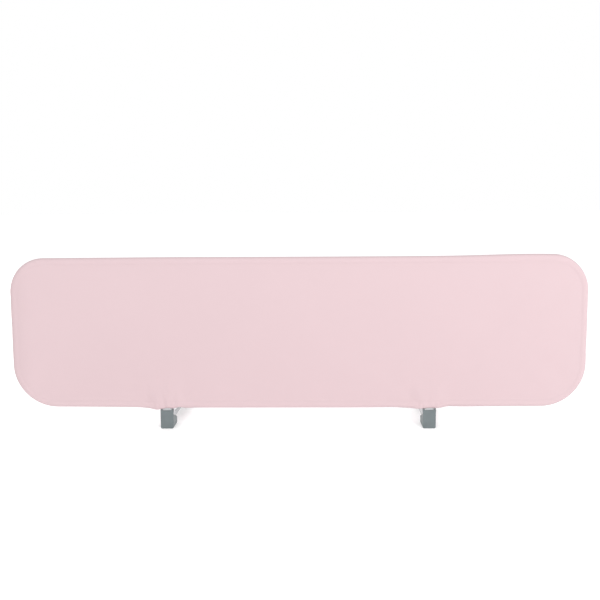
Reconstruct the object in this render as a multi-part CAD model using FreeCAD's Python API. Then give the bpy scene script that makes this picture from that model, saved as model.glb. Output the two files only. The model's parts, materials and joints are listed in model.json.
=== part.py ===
import FreeCAD, Part
import math
import os
from FreeCAD import Vector

# Bed guard rail: a fabric covered tube frame that stands on two folding legs. The legs lie under a mattress.
# X runs along the rail, the guarded side of the bed is towards +Y, Z is up. All sizes are in millimetres.
# The pieces are drawn with the panel's middle plane at Y = 0. They are moved as one when they are written,
# so that the origin is at the middle of the bottom of the whole rail.

# ---------------------------------------------------------------- driving dimensions
# covered panel
PANEL_LENGTH = 1500.0
PANEL_HEIGHT = 395.0
PANEL_BOTTOM = 57.0          # height of the panel's lower edge above the surface
TOP_CORNER = 90.0            # outline radius of the two upper corners
BOTTOM_CORNER = 115.0        # outline radius of the two lower corners
FABRIC = 1.2
COVER_EASE = 0.5             # between the frame tube and the fabric

# frame tube
TUBE_DIA = 16.0
TUBE_WALL = 1.0
JOINT_GAP = 0.2              # between two tube ends that meet
FERRULE_LENGTH = 60.0
FERRULE_WALL = 1.0
FERRULE_FIT = 0.1

# legs and their place
LEG_SPACING = 690.0
LEG_REAR = 392.0             # back end of a leg, from the panel's middle plane
LEG_WIDTH = 30.0
LEG_HEIGHT = 16.0
LEG_BOTTOM = 20.0            # height of the leg tube's underside
LEG_WALL = 1.5
LEG_CORNER = 4.0
LEG_START = 13.0             # where the leg tube begins, behind the hinge

# hinge
PIVOT_Y = 8.0
HUB_RADIUS = 7.0
EAR_RADIUS = 8.0
EAR_THICKNESS = 3.0
HUB_GAP = 0.3                # between the knuckle and each ear
TURN_GAP = 0.5               # between the hub and the fork below it
PIN_DIA = 5.0
PIN_FIT = 0.02
PIN_RUNNING = 0.08
PIN_HEAD_RADIUS = 4.5
PIN_HEAD = 1.6

# release button and lock
BUTTON_RADIUS = 6.0
BUTTON_FIT = 0.3
BUTTON_PROUD = 2.5           # how far it stands out of its collar
BUTTON_TRAVEL = 2.3
BUTTON_STOP = 0.3
COLLAR_HEIGHT = 2.0
EAR_WEB = 1.6
PRONG_RADIUS = 0.9
PRONG_FIT = 0.3
PRONG_CIRCLE = 4.0
PRONGS = 3
LOCK_RING_OUTER = 5.2
LOCK_RING_INNER = 2.9
LOCK_RING_THICK = 1.8
LOCK_POCKET_RADIUS = 5.5
LOCK_POCKET_DEPTH = 11.6
SPRING_WIRE = 0.8
SPRING_RADIUS = 4.2
SPRING_TURNS = 5
SPRING_SIDES = 8             # the wire is drawn with an eight-sided section
END_GAP = 0.1

# plastic shoe at the front end of each leg
SHOE_WALL = 2.0
SHOE_PLATE = 4.0
SHOE_FRONT = -12.0
SHOE_HEIGHT = 48.5           # top of the front plate, inside its notch
SHOE_CORNER_HEIGHT = 51.5    # top of the plate's two raised corners
SHOE_REAR = 44.0
CHEEK_FRONT_HEIGHT = 37.0
SHOE_ROUND = 4.0
SHOE_SHELF = 3.0
NOTCH_CLEARANCE = 0.3
STOP_GAP = 0.3               # between the knuckle and the plate that stops it
SEAT_GAP = 0.1               # between the shoe and what it holds
BOSS_RADIUS = 4.2

# clamp on the lower tube
CLAMP_RADIUS = 11.0
CLAMP_WIDTH = 44.0
CLAMP_SEAT = 0.05
CLAMP_LIP = 8.0              # how far below the tube's middle the rear half begins
FLANGE_TOP = 19.0            # top of the screw flange above the tube's middle
FLANGE_THICK = 7.0
CLAMP_SPLIT = 0.2
CLAMP_SCREW_SPACING = 26.0
CLAMP_SCREW_RISE = 14.0
SCREW_RADIUS = 2.0
SCREW_FIT = 0.1
SCREW_HEAD_RADIUS = 3.6
SCREW_HEAD = 2.4
NUT_RADIUS = 3.9
NUT_THICK = 2.6

# swelling of the cover over each clamp
BULGE_CLEARANCE = 0.8
BULGE_SIDE = 4.0
BULGE_ROUND = 5.0
SLOT_CLEARANCE = 1.0

# rear foot, pads, rivets
FOOT_LENGTH = 52.0
FOOT_WALL = 2.0
FOOT_END = 12.0
PAD_THICK = 2.0
PAD_MARGIN = 5.0
GRIP_START = 120.0
GRIP_LENGTH = 180.0
GRIP_WIDTH = 26.0
RIVET_RADIUS = 2.0
RIVET_HEAD_RADIUS = 3.5
RIVET_HEAD = 1.0
TONGUE_LENGTH = 32.0
TONGUE_FIT = 0.15
TONGUE_RIVETS = (9.0, 24.0)  # from the front end of the leg tube
SHOE_SCREWS = (2.0, 30.0)    # from the panel's middle plane
SCREW_DEPTH = 9.0            # how far a shoe screw goes into the fork

# zip in the back of the cover
ZIP_LENGTH = 600.0
ZIP_RISE = 48.0              # height of the zip above the panel's lower edge
ZIP_GAP = 10.0               # width of the opening that the zip closes
TAPE_WIDTH = 12.0
TAPE_THICK = 0.9
TAPE_GAP = 0.2
CHAIN_WIDTH = 4.0
CHAIN_PROUD = 0.3
STOP_LENGTH = 3.0
SLIDER_LENGTH = 12.0
SLIDER_WIDTH = 8.0
SLIDER_PLATE = 1.4
SLIDER_CLEARANCE = 0.3
SLIDER_FLANGE = 1.2
ARCH_HEIGHT = 2.9
ARCH_BAR = 1.0
ARCH_WIDTH = 2.0
ARCH_SPAN = 5.8
PULL_LENGTH = 26.0
PULL_WIDTH = 8.0
PULL_THICK = 1.4
PULL_ARM = 1.1

# ---------------------------------------------------------------- sizes that follow
COVER_HALF = TUBE_DIA / 2 + COVER_EASE + FABRIC
TUBE_Z = PANEL_BOTTOM + COVER_HALF
PANEL_TOP = PANEL_BOTTOM + PANEL_HEIGHT
BULGE_HALF = CLAMP_RADIUS + BULGE_CLEARANCE + FABRIC
FORK_HALF = LEG_WIDTH / 2
EAR_INNER = FORK_HALF - EAR_THICKNESS
KNUCKLE_HALF = EAR_INNER - HUB_GAP
SHOE_HALF = FORK_HALF + SHOE_WALL
LEG_TOP = LEG_BOTTOM + LEG_HEIGHT
PIVOT_Z = LEG_TOP + HUB_RADIUS        # the hub clears a leg of any height
PLATE_BACK = SHOE_FRONT + SHOE_PLATE
POST_FRONT = PLATE_BACK + STOP_GAP
WEB_OUTER = EAR_INNER + EAR_WEB
COLLAR_TOP = FORK_HALF + COLLAR_HEIGHT
BUTTON_INNER = WEB_OUTER + BUTTON_TRAVEL + BUTTON_STOP
BUTTON_OUTER = COLLAR_TOP + BUTTON_PROUD
LOCK_PIN_END = KNUCKLE_HALF - HUB_GAP
RING_OUTER_FACE = LOCK_PIN_END - 1.5
RING_INNER_FACE = RING_OUTER_FACE - LOCK_RING_THICK
DEPTH_MIDDLE = (LEG_REAR - BULGE_HALF) / 2


# ---------------------------------------------------------------- helpers
def box(x0, x1, y0, y1, z0, z1):
    return Part.makeBox(x1 - x0, y1 - y0, z1 - z0, Vector(x0, y0, z0))


def rod_x(x0, x1, y, z, radius):
    return Part.makeCylinder(radius, x1 - x0, Vector(x0, y, z), Vector(1, 0, 0))


def rod_y(y0, y1, x, z, radius):
    return Part.makeCylinder(radius, y1 - y0, Vector(x, y0, z), Vector(0, 1, 0))


def rod_z(z0, z1, x, y, radius):
    return Part.makeCylinder(radius, z1 - z0, Vector(x, y, z0), Vector(0, 0, 1))


def edges_along(shape, axis):
    """Straight edges of a shape that run along one axis."""
    picked = []
    for edge in shape.Edges:
        if len(edge.Vertexes) != 2:
            continue
        run = edge.Vertexes[1].Point - edge.Vertexes[0].Point
        if run.Length > 1e-6 and abs(abs(run.normalize().dot(axis)) - 1) < 1e-6:
            picked.append(edge)
    return picked


def rounded_bar(half_width, y0, y1, z0, z1, radius):
    """A bar along Y with its four long edges rounded."""
    bar = box(-half_width, half_width, y0, y1, z0, z1)
    return bar.makeFillet(radius, edges_along(bar, Vector(0, 1, 0)))


def arc_edge(centre, radius, start_deg):
    """A quarter circle in the XZ plane, turning clockwise from start_deg."""
    points = []
    for step in (0, 45, 90):
        angle = math.radians(start_deg - step)
        points.append(centre + Vector(radius * math.cos(angle), 0, radius * math.sin(angle)))
    return Part.Arc(*points).toShape()


def outline(inset):
    """The panel's outline, moved inwards by inset, as a closed wire in the XZ plane."""
    half = PANEL_LENGTH / 2
    top_radius = TOP_CORNER - inset
    low_radius = BOTTOM_CORNER - inset
    top_left = Vector(-half + TOP_CORNER, 0, PANEL_TOP - TOP_CORNER)
    top_right = Vector(half - TOP_CORNER, 0, PANEL_TOP - TOP_CORNER)
    low_right = Vector(half - BOTTOM_CORNER, 0, PANEL_BOTTOM + BOTTOM_CORNER)
    low_left = Vector(-half + BOTTOM_CORNER, 0, PANEL_BOTTOM + BOTTOM_CORNER)
    arcs = [
        arc_edge(top_left, top_radius, 180),
        arc_edge(top_right, top_radius, 90),
        arc_edge(low_right, low_radius, 0),
        arc_edge(low_left, low_radius, -90),
    ]
    edges = []
    for index, arc in enumerate(arcs):
        following = arcs[(index + 1) % len(arcs)]
        edges.append(arc)
        edges.append(Part.LineSegment(arc.Vertexes[-1].Point, following.Vertexes[0].Point).toShape())
    return Part.Wire(edges)


def pillow(inset):
    """The panel's rounded body, with its outline moved inwards by inset."""
    half = COVER_HALF - inset
    slab = Part.Face(outline(inset)).extrude(Vector(0, 2 * half, 0))
    slab.translate(Vector(0, -half, 0))
    rim = [edge for edge in slab.Edges if edge.BoundBox.YLength < 1e-6]
    return slab.makeFillet(half - 0.2, rim)


def swelling(centre_x, inset):
    """The rounded block by which the cover swells over one clamp."""
    side = CLAMP_WIDTH / 2 + BULGE_SIDE - inset
    half = BULGE_HALF - inset
    top = TUBE_Z + FLANGE_TOP + BULGE_SIDE - inset
    block = box(centre_x - side, centre_x + side, -half, half, TUBE_Z - half, top)
    return block.makeFillet(BULGE_ROUND - inset, block.Edges)


def leg_centres():
    return {"left": -LEG_SPACING / 2, "right": LEG_SPACING / 2}


# ---------------------------------------------------------------- cover
def cover_halves():
    """Front and back sheets, with the slots for the knuckles and the opening that the zip closes."""
    outer = pillow(0.0)
    inner = pillow(FABRIC)
    for centre_x in leg_centres().values():
        outer = outer.fuse(swelling(centre_x, 0.0))
        inner = inner.fuse(swelling(centre_x, FABRIC))
    shell = outer.cut(inner)
    for centre_x in leg_centres().values():
        half = KNUCKLE_HALF + SLOT_CLEARANCE
        low = TUBE_Z - BULGE_HALF - 1
        slot = box(centre_x - half, centre_x + half, POST_FRONT - SLOT_CLEARANCE,
                   post_back() + SLOT_CLEARANCE, low, TUBE_Z)
        shell = shell.cut(slot)
    zip_z = PANEL_BOTTOM + ZIP_RISE
    half_zip = ZIP_LENGTH / 2 + STOP_LENGTH
    shell = shell.cut(box(-half_zip, half_zip, 0, BULGE_HALF + 1, zip_z - ZIP_GAP / 2, zip_z + ZIP_GAP / 2))
    reach = PANEL_LENGTH
    front = shell.common(box(-reach, reach, -reach, 0, -reach, reach))
    back = shell.common(box(-reach, reach, 0, reach, -reach, reach))
    return front, back


# ---------------------------------------------------------------- tube frame
def pipe(edges, radius):
    wire = Part.Wire(edges)
    start = edges[0].Vertexes[0].Point
    heading = (edges[0].Vertexes[1].Point - start).normalize()
    ring = Part.Wire(Part.makeCircle(radius, start, heading))
    return wire.makePipeShell([ring], True, True)


def corner_tube(side, is_top):
    """One bent frame tube, from the middle of the panel's end to the middle of its long edge."""
    half = PANEL_LENGTH / 2 - COVER_HALF
    radius = (TOP_CORNER if is_top else BOTTOM_CORNER) - COVER_HALF
    edge_z = PANEL_TOP - COVER_HALF if is_top else TUBE_Z
    up = 1 if is_top else -1
    middle_z = PANEL_BOTTOM + PANEL_HEIGHT / 2
    begin = Vector(side * half, 0, middle_z + up * JOINT_GAP / 2)
    bend_start = Vector(side * half, 0, edge_z - up * radius)
    bend_end = Vector(side * (half - radius), 0, edge_z)
    finish = Vector(side * JOINT_GAP / 2, 0, edge_z)
    centre = Vector(side * (half - radius), 0, edge_z - up * radius)
    diagonal = math.radians(45)
    bend_middle = centre + Vector(side * radius * math.cos(diagonal), 0, up * radius * math.sin(diagonal))
    edges = [
        Part.LineSegment(begin, bend_start).toShape(),
        Part.Arc(bend_start, bend_middle, bend_end).toShape(),
        Part.LineSegment(bend_end, finish).toShape(),
    ]
    return pipe(edges, TUBE_DIA / 2).cut(pipe(edges, TUBE_DIA / 2 - TUBE_WALL))


def frame_ferrules():
    """Four short tubes inside the frame, one at each joint."""
    outer = TUBE_DIA / 2 - TUBE_WALL - FERRULE_FIT
    inner = outer - FERRULE_WALL
    half = FERRULE_LENGTH / 2
    middle_z = PANEL_BOTTOM + PANEL_HEIGHT / 2
    pieces = []
    for z in (TUBE_Z, PANEL_TOP - COVER_HALF):
        pieces.append(rod_x(-half, half, 0, z, outer).cut(rod_x(-half, half, 0, z, inner)))
    for x in (-PANEL_LENGTH / 2 + COVER_HALF, PANEL_LENGTH / 2 - COVER_HALF):
        bar = rod_z(middle_z - half, middle_z + half, x, 0, outer)
        pieces.append(bar.cut(rod_z(middle_z - half, middle_z + half, x, 0, inner)))
    return Part.makeCompound(pieces)


# ---------------------------------------------------------------- knuckle and clamp, which hold the lower tube
def post_back():
    return PIVOT_Y + HUB_RADIUS / 2


def clamp_screw_places():
    half = CLAMP_SCREW_SPACING / 2
    return [(-half, TUBE_Z + CLAMP_SCREW_RISE), (half, TUBE_Z + CLAMP_SCREW_RISE)]


def tube_hole():
    reach = CLAMP_WIDTH
    return rod_x(-reach, reach, 0, TUBE_Z, TUBE_DIA / 2 + CLAMP_SEAT)


def knuckle():
    """Hub, post and front half of the clamp in one moulding."""
    half = CLAMP_WIDTH / 2
    hub = rod_x(-KNUCKLE_HALF, KNUCKLE_HALF, PIVOT_Y, PIVOT_Z, HUB_RADIUS)
    post = box(-KNUCKLE_HALF, KNUCKLE_HALF, POST_FRONT, post_back(), PIVOT_Z, TUBE_Z - CLAMP_LIP)
    ring = rod_x(-half, half, 0, TUBE_Z, CLAMP_RADIUS)
    ring = ring.common(box(-half, half, -CLAMP_RADIUS, -CLAMP_SPLIT / 2, 0, PANEL_TOP))
    flange = box(-half, half, -FLANGE_THICK, -CLAMP_SPLIT / 2, TUBE_Z, TUBE_Z + FLANGE_TOP)
    body = hub.fuse(post).fuse(ring).fuse(flange)
    body = body.cut(tube_hole())
    body = body.cut(rod_x(-half, half, PIVOT_Y, PIVOT_Z, PIN_DIA / 2 + PIN_RUNNING))
    pocket = rod_x(-KNUCKLE_HALF, -KNUCKLE_HALF + LOCK_POCKET_DEPTH, PIVOT_Y, PIVOT_Z, LOCK_POCKET_RADIUS)
    body = body.cut(pocket)
    for x, z in clamp_screw_places():
        body = body.cut(rod_y(-CLAMP_RADIUS, CLAMP_RADIUS, x, z, SCREW_RADIUS + SCREW_FIT))
    return body


def clamp():
    """Rear half of the clamp, which hooks round the tube and is screwed on above it."""
    half = CLAMP_WIDTH / 2
    low = TUBE_Z - CLAMP_LIP + CLAMP_SPLIT
    ring = rod_x(-half, half, 0, TUBE_Z, CLAMP_RADIUS)
    ring = ring.common(box(-half, half, CLAMP_SPLIT / 2, CLAMP_RADIUS, low, PANEL_TOP))
    flange = box(-half, half, CLAMP_SPLIT / 2, FLANGE_THICK, TUBE_Z, TUBE_Z + FLANGE_TOP)
    body = ring.fuse(flange).cut(tube_hole())
    for x, z in clamp_screw_places():
        body = body.cut(rod_y(-CLAMP_RADIUS, CLAMP_RADIUS, x, z, SCREW_RADIUS + SCREW_FIT))
    return body


def hexagon_y(y0, y1, x, z, radius):
    corners = []
    for step in range(7):
        angle = math.radians(60 * step)
        corners.append(Vector(x + radius * math.cos(angle), y0, z + radius * math.sin(angle)))
    return Part.Face(Part.makePolygon(corners)).extrude(Vector(0, y1 - y0, 0))


def clamp_screws():
    """Two screws with their heads at the back and their nuts at the front."""
    pieces = []
    for x, z in clamp_screw_places():
        shank = rod_y(-FLANGE_THICK - NUT_THICK, FLANGE_THICK, x, z, SCREW_RADIUS)
        head = rod_y(FLANGE_THICK, FLANGE_THICK + SCREW_HEAD, x, z, SCREW_HEAD_RADIUS)
        drive = hexagon_y(FLANGE_THICK + SCREW_HEAD / 2, FLANGE_THICK + SCREW_HEAD, x, z, SCREW_RADIUS * 0.7)
        nut = hexagon_y(-FLANGE_THICK - NUT_THICK, -FLANGE_THICK, x, z, NUT_RADIUS)
        pieces.append(shank.fuse(head).fuse(nut).cut(drive))
    return Part.makeCompound(pieces)


# ---------------------------------------------------------------- fork, pin, release button and lock
def prong_places():
    places = []
    for index in range(PRONGS):
        angle = math.radians(90 + 360 * index / PRONGS)
        places.append((PIVOT_Y + PRONG_CIRCLE * math.cos(angle), PIVOT_Z + PRONG_CIRCLE * math.sin(angle)))
    return places


def fork():
    """Front end of the leg: two ears about the pivot, and a tongue that goes into the leg tube."""
    floor = box(-FORK_HALF, FORK_HALF, PLATE_BACK, LEG_START, LEG_BOTTOM, PIVOT_Z)
    floor = floor.cut(box(-EAR_INNER, EAR_INNER, PLATE_BACK, LEG_START, LEG_TOP - TURN_GAP, PIVOT_Z))
    floor = floor.cut(box(-FORK_HALF, FORK_HALF, PLATE_BACK, PIVOT_Y - EAR_RADIUS, LEG_TOP, PIVOT_Z))
    body = floor
    for side in (-1, 1):
        inner = side * EAR_INNER
        outer = side * FORK_HALF
        ear = rod_x(min(inner, outer), max(inner, outer), PIVOT_Y, PIVOT_Z, EAR_RADIUS)
        body = body.fuse(ear)
    body = body.fuse(rod_x(-COLLAR_TOP, -FORK_HALF, PIVOT_Y, PIVOT_Z, EAR_RADIUS))
    wall = LEG_WALL + TONGUE_FIT
    tongue = rounded_bar(FORK_HALF - wall, LEG_START - 1, LEG_START + TONGUE_LENGTH,
                         LEG_BOTTOM + wall, LEG_TOP - wall, LEG_CORNER - LEG_WALL)
    body = body.fuse(tongue)
    body = body.cut(rod_x(-EAR_INNER, EAR_INNER, PIVOT_Y, PIVOT_Z, HUB_RADIUS + TURN_GAP))
    body = body.cut(rod_x(-COLLAR_TOP, -WEB_OUTER, PIVOT_Y, PIVOT_Z, BUTTON_RADIUS + BUTTON_FIT))
    body = body.cut(rod_x(-COLLAR_TOP, COLLAR_TOP, PIVOT_Y, PIVOT_Z, PIN_DIA / 2 + PIN_FIT))
    for y, z in prong_places():
        body = body.cut(rod_x(-WEB_OUTER, -EAR_INNER, y, z, PRONG_RADIUS + PRONG_FIT))
    for y in SHOE_SCREWS:
        body = body.cut(rod_z(0, LEG_BOTTOM + SCREW_DEPTH + END_GAP, 0, y, SCREW_RADIUS + SCREW_FIT))
    for y in TONGUE_RIVETS:
        body = body.cut(rod_z(LEG_BOTTOM, LEG_TOP, 0, LEG_START + y, RIVET_RADIUS + SCREW_FIT))
    return body


def pin():
    """Hinge pin, pressed into both ears. Its head is opposite the button."""
    shank = rod_x(-WEB_OUTER, FORK_HALF, PIVOT_Y, PIVOT_Z, PIN_DIA / 2)
    head = rod_x(FORK_HALF, FORK_HALF + PIN_HEAD, PIVOT_Y, PIVOT_Z, PIN_HEAD_RADIUS)
    rim = [edge for edge in head.Edges if abs(edge.BoundBox.XMin - FORK_HALF - PIN_HEAD) < 1e-6]
    return shank.fuse(head.makeFillet(PIN_HEAD / 2, rim))


def button():
    """Round cap with prongs that reach through the ear to the lock ring."""
    cap = rod_x(-BUTTON_OUTER, -BUTTON_INNER, PIVOT_Y, PIVOT_Z, BUTTON_RADIUS)
    rim = [edge for edge in cap.Edges if abs(edge.BoundBox.XMax + BUTTON_OUTER) < 1e-6]
    body = cap.makeFillet(1.0, rim)
    for y, z in prong_places():
        body = body.fuse(rod_x(-BUTTON_INNER, -EAR_INNER - HUB_GAP / 2, y, z, PRONG_RADIUS))
    return body


def lock_ring():
    """Ring inside the hub with pins that face the ear."""
    ring = rod_x(-RING_OUTER_FACE, -RING_INNER_FACE, PIVOT_Y, PIVOT_Z, LOCK_RING_OUTER)
    for y, z in prong_places():
        ring = ring.fuse(rod_x(-LOCK_PIN_END, -RING_OUTER_FACE, y, z, PRONG_RADIUS))
    return ring.cut(rod_x(-KNUCKLE_HALF, 0, PIVOT_Y, PIVOT_Z, LOCK_RING_INNER))


def lock_spring():
    """Coil spring between the lock ring and the bottom of the hub's pocket."""
    bottom = KNUCKLE_HALF - LOCK_POCKET_DEPTH
    room = RING_INNER_FACE - bottom - 2 * END_GAP - SPRING_WIRE
    helix = Part.makeHelix(room / SPRING_TURNS, room, SPRING_RADIUS)
    corners = []
    for step in range(SPRING_SIDES + 1):
        angle = math.radians(360 * step / SPRING_SIDES)
        reach = SPRING_WIRE / 2
        corners.append(Vector(SPRING_RADIUS + reach * math.cos(angle), 0, reach * math.sin(angle)))
    coil = Part.Wire(helix).makePipeShell([Part.makePolygon(corners)], True, True)
    coil.rotate(Vector(0, 0, 0), Vector(0, 1, 0), -90)
    coil.translate(Vector(-bottom - END_GAP - SPRING_WIRE / 2, PIVOT_Y, PIVOT_Z))
    return coil


# ---------------------------------------------------------------- shoe, leg tube, foot and pads
def cheek(x0, x1):
    """Side wall of the shoe above its shelf: tall at the plate and sloping down to the back."""
    corners = [
        Vector(x0, PLATE_BACK, LEG_BOTTOM - SHOE_SHELF),
        Vector(x0, SHOE_REAR, LEG_BOTTOM - SHOE_SHELF),
        Vector(x0, SHOE_REAR, LEG_BOTTOM),
        Vector(x0, PLATE_BACK, CHEEK_FRONT_HEIGHT),
        Vector(x0, PLATE_BACK, LEG_BOTTOM - SHOE_SHELF),
    ]
    return Part.Face(Part.makePolygon(corners)).extrude(Vector(x1 - x0, 0, 0))


def shoe():
    """Front plate with a notch, shelf under the leg, two cheeks and a hollow base with screw bosses."""
    plate = box(-SHOE_HALF, SHOE_HALF, SHOE_FRONT, PLATE_BACK, 0, SHOE_CORNER_HEIGHT)
    plate = plate.makeFillet(1.5, [e for e in plate.Edges if abs(e.CenterOfMass.z - SHOE_CORNER_HEIGHT) < 1e-6])
    base = box(-SHOE_HALF, SHOE_HALF, SHOE_FRONT, SHOE_REAR, 0, LEG_BOTTOM)
    long_edges = [e for e in edges_along(base, Vector(0, 1, 0)) if e.CenterOfMass.z < 1]
    base = base.makeFillet(SHOE_ROUND, long_edges)
    sole_cut = box(-SHOE_HALF, SHOE_HALF, SHOE_FRONT, SHOE_REAR, 0, SHOE_CORNER_HEIGHT)
    low_edges = [e for e in edges_along(sole_cut, Vector(0, 1, 0)) if e.CenterOfMass.z < 1]
    heel = [e for e in edges_along(sole_cut, Vector(1, 0, 0)) if e.CenterOfMass.z < 1 and e.CenterOfMass.y > 0]
    envelope = sole_cut.makeFillet(SHOE_ROUND, low_edges + heel)
    body = base.fuse(plate)
    gap = FORK_HALF + SEAT_GAP
    body = body.fuse(cheek(-SHOE_HALF, -gap)).fuse(cheek(gap, SHOE_HALF)).common(envelope)
    notch = KNUCKLE_HALF + NOTCH_CLEARANCE
    body = body.cut(box(-notch, notch, SHOE_FRONT, PLATE_BACK, SHOE_HEIGHT, SHOE_CORNER_HEIGHT))
    hollow = SHOE_HALF - SHOE_WALL - SHOE_ROUND / 2
    cavity = box(-hollow, hollow, PLATE_BACK, SHOE_REAR - SHOE_WALL - SHOE_ROUND / 2, 0, LEG_BOTTOM - SHOE_SHELF)
    for y in SHOE_SCREWS:
        cavity = cavity.cut(rod_z(0, LEG_BOTTOM, 0, y, BOSS_RADIUS + SHOE_WALL))
    rib_y = sum(SHOE_SCREWS) / len(SHOE_SCREWS)
    cavity = cavity.cut(box(-SHOE_HALF, SHOE_HALF, rib_y - SHOE_WALL / 2, rib_y + SHOE_WALL / 2, 0, LEG_BOTTOM))
    body = body.cut(cavity)
    for y in SHOE_SCREWS:
        body = body.cut(rod_z(0, LEG_BOTTOM, 0, y, SCREW_RADIUS + SCREW_FIT))
        body = body.cut(rod_z(0, LEG_BOTTOM - SHOE_SHELF, 0, y, BOSS_RADIUS))
    return body


def leg_tube():
    """Flat oval-cornered tube under the mattress."""
    end = LEG_REAR - FOOT_END
    outer = rounded_bar(FORK_HALF, LEG_START, end, LEG_BOTTOM, LEG_TOP, LEG_CORNER)
    inner = rounded_bar(FORK_HALF - LEG_WALL, LEG_START, end, LEG_BOTTOM + LEG_WALL,
                        LEG_TOP - LEG_WALL, LEG_CORNER - LEG_WALL)
    body = outer.cut(inner)
    for y in TONGUE_RIVETS:
        body = body.cut(rod_z(LEG_BOTTOM, LEG_TOP, 0, LEG_START + y, RIVET_RADIUS + SCREW_FIT))
    for y in SHOE_SCREWS:
        body = body.cut(rod_z(0, LEG_BOTTOM + LEG_WALL, 0, y, SCREW_RADIUS + SCREW_FIT))
    return body.cut(rod_z(0, LEG_BOTTOM + LEG_WALL, 0, foot_middle(), SCREW_RADIUS + SCREW_FIT))


def foot_middle():
    return LEG_REAR - FOOT_LENGTH / 2


def foot():
    """Cap that closes the back end of the leg tube and stands on the surface."""
    half = FORK_HALF + FOOT_WALL
    body = rounded_bar(half, LEG_REAR - FOOT_LENGTH, LEG_REAR, PAD_THICK, LEG_TOP + FOOT_WALL, LEG_CORNER)
    back_edges = [e for e in body.Edges if abs(e.BoundBox.YMin - LEG_REAR) < 1e-6]
    body = body.makeFillet(FOOT_WALL, back_edges)
    socket = rounded_bar(FORK_HALF + SEAT_GAP, LEG_REAR - FOOT_LENGTH, LEG_REAR - FOOT_END + SEAT_GAP,
                         LEG_BOTTOM - SEAT_GAP, LEG_TOP + SEAT_GAP, LEG_CORNER)
    body = body.cut(socket)
    body = body.cut(rod_z(0, LEG_BOTTOM, 0, foot_middle(), SCREW_RADIUS + SCREW_FIT))
    return body.cut(rod_z(0, LEG_BOTTOM / 2, 0, foot_middle(), BOSS_RADIUS))


def foot_pad():
    """Rubber pad under the foot, with a hole under the foot's screw."""
    half = FORK_HALF - FOOT_WALL
    pad = box(-half, half, LEG_REAR - FOOT_LENGTH + PAD_MARGIN, LEG_REAR - PAD_MARGIN, 0, PAD_THICK)
    pad = pad.makeFillet(SHOE_ROUND, edges_along(pad, Vector(0, 0, 1)))
    return pad.cut(rod_z(0, PAD_THICK, 0, foot_middle(), BOSS_RADIUS))


def grip_pad():
    """Rubber strip on top of the leg tube, which grips the mattress."""
    half = GRIP_WIDTH / 2 - LEG_CORNER / 2
    pad = box(-half, half, GRIP_START, GRIP_START + GRIP_LENGTH, LEG_TOP, LEG_TOP + PAD_THICK)
    return pad.makeFillet(SHOE_ROUND, edges_along(pad, Vector(0, 0, 1)))


def leg_rivets():
    """Two rivets through the leg tube and the fork's tongue."""
    pieces = []
    for y in TONGUE_RIVETS:
        shank = rod_z(LEG_BOTTOM + SEAT_GAP, LEG_TOP, 0, LEG_START + y, RIVET_RADIUS)
        head = rod_z(LEG_TOP, LEG_TOP + RIVET_HEAD, 0, LEG_START + y, RIVET_HEAD_RADIUS)
        rim = [e for e in head.Edges if abs(e.BoundBox.ZMin - LEG_TOP - RIVET_HEAD) < 1e-6]
        pieces.append(shank.fuse(head.makeFillet(RIVET_HEAD * 0.6, rim)))
    return Part.makeCompound(pieces)


def leg_screws():
    """Screws that hold the shoe and the foot, put in from below."""
    pieces = []
    places = [(y, LEG_BOTTOM - SHOE_SHELF, LEG_BOTTOM + SCREW_DEPTH) for y in SHOE_SCREWS]
    places.append((foot_middle(), LEG_BOTTOM / 2, LEG_BOTTOM + LEG_WALL))
    for y, seat, tip in places:
        shank = rod_z(seat, tip, 0, y, SCREW_RADIUS)
        head = rod_z(seat - SCREW_HEAD, seat, 0, y, SCREW_HEAD_RADIUS)
        pieces.append(shank.fuse(head))
    return Part.makeCompound(pieces)


# ---------------------------------------------------------------- zip
def zip_chain_top():
    return COVER_HALF + CHAIN_PROUD


def zip_tape():
    """Two tapes behind the back sheet and the closed chain between them."""
    z = PANEL_BOTTOM + ZIP_RISE
    half = ZIP_LENGTH / 2
    back = COVER_HALF - FABRIC - TAPE_GAP
    front = back - TAPE_THICK
    lower = box(-half, half, front, back, z - CHAIN_WIDTH / 2 - TAPE_WIDTH, z - CHAIN_WIDTH / 2)
    upper = box(-half, half, front, back, z + CHAIN_WIDTH / 2, z + CHAIN_WIDTH / 2 + TAPE_WIDTH)
    chain = box(-half, half, front, zip_chain_top(), z - CHAIN_WIDTH / 2, z + CHAIN_WIDTH / 2)
    return Part.makeCompound([lower, upper, chain])


def zip_stops():
    """A metal stop at each end of the chain."""
    z = PANEL_BOTTOM + ZIP_RISE
    half = ZIP_LENGTH / 2
    front = COVER_HALF - FABRIC - TAPE_GAP - TAPE_THICK
    pieces = []
    for x in (-half - STOP_LENGTH + END_GAP, half):
        stop = box(x, x + STOP_LENGTH - END_GAP, front, zip_chain_top() + 1, z - CHAIN_WIDTH, z + CHAIN_WIDTH)
        pieces.append(stop)
    return Part.makeCompound(pieces)


def slider_start():
    """Middle of the slider when the zip is closed."""
    return ZIP_LENGTH / 2 - SLIDER_LENGTH / 2 - SLIDER_CLEARANCE


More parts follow.
